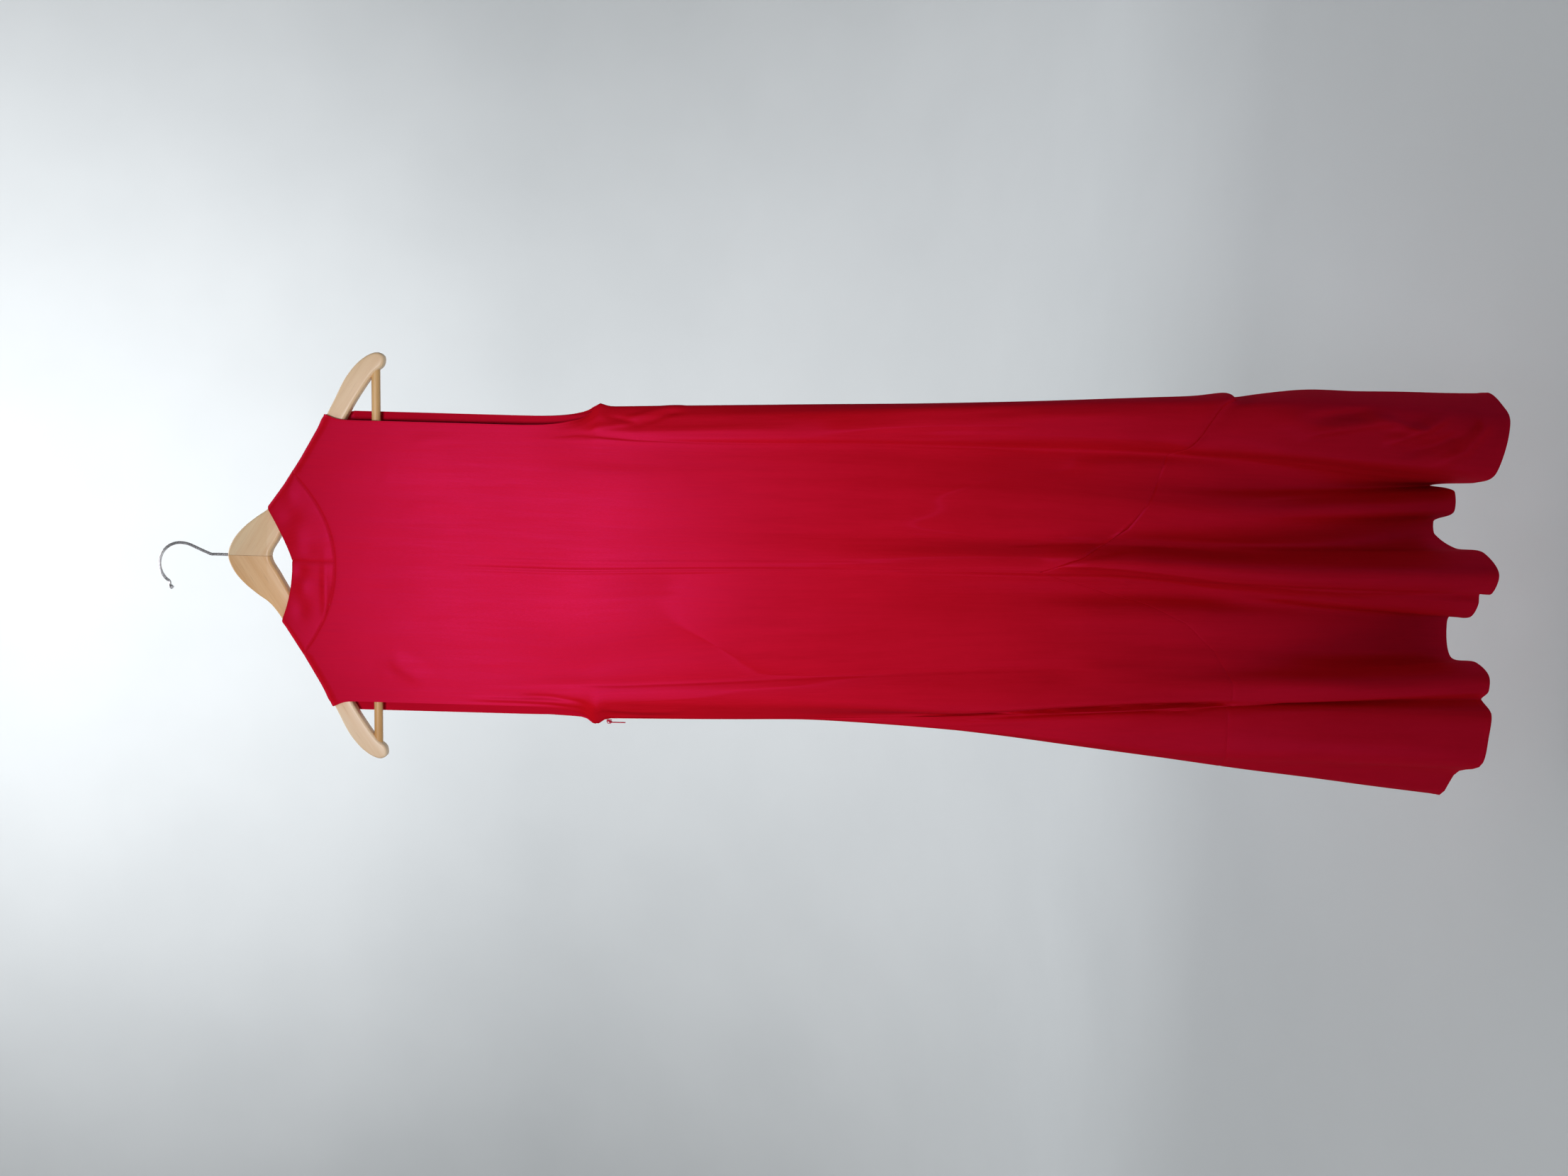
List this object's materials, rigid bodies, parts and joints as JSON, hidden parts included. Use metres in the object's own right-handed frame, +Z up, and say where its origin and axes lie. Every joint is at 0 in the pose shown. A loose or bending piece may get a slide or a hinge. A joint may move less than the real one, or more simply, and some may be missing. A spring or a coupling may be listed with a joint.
{
  "type": "satin maxi dress on a wooden hanger",
  "caption": "Long sleeveless satin dress with a neck band and a flared flounce, hanging with its back outward on a wooden hanger with a trouser bar.",
  "frame": {"origin": "inside top of the hanger's hook, where a rail, peg or nail holds it, in the middle of the wire", "axes": "+Z up; -Y is the side that faces the viewer, the garment's back; +X to the viewer's right along the hanger"},
  "size_m": [0.463, 0.1239, 1.4505],
  "materials": {
    "satin": "crimson satin with a soft sheen",
    "satin facing": "crimson satin, the duller side",
    "red lacquer": "dark red painted zip metal",
    "pale wood": "clear lacquered pale wood",
    "bar wood": "golden brown lacquered dowel",
    "steel wire": "bright plated steel wire"
  },
  "bodies": {
    "garment": {"back_left_chest": "satin", "back_left_waist": "satin", "back_left_hip": "satin", "back_right_chest": "satin", "back_right_waist": "satin", "back_right_hip": "satin", "front_left_chest": "satin", "front_left_waist": "satin", "front_left_hip": "satin", "front_right_chest": "satin", "front_right_waist": "satin", "front_right_hip": "satin", "back_flounce_fold": "satin", "back_flounce_left": "satin", "back_flounce_right": "satin", "front_flounce_fold": "satin", "front_flounce_left": "satin", "front_flounce_right": "satin", "neck_band_left": "satin", "neck_band_right": "satin", "armhole_facing_left": "satin facing", "armhole_facing_right": "satin facing", "zip_slider": "red lacquer", "hanger_arm_left": "pale wood", "hanger_arm_right": "pale wood", "trouser_bar": "bar wood", "hook": "steel wire"},
    "zip_pull": {"zip_pull": "red lacquer"}
  },
  "joints": [
    {"name": "zip_pull_hinge", "type": "hinge", "parent": "garment", "child": "zip_pull", "pos_m": [-0.1673, -0.00015, -0.5055], "axis": [0, 1, 0], "range_deg": [0, 120]}
  ]
}
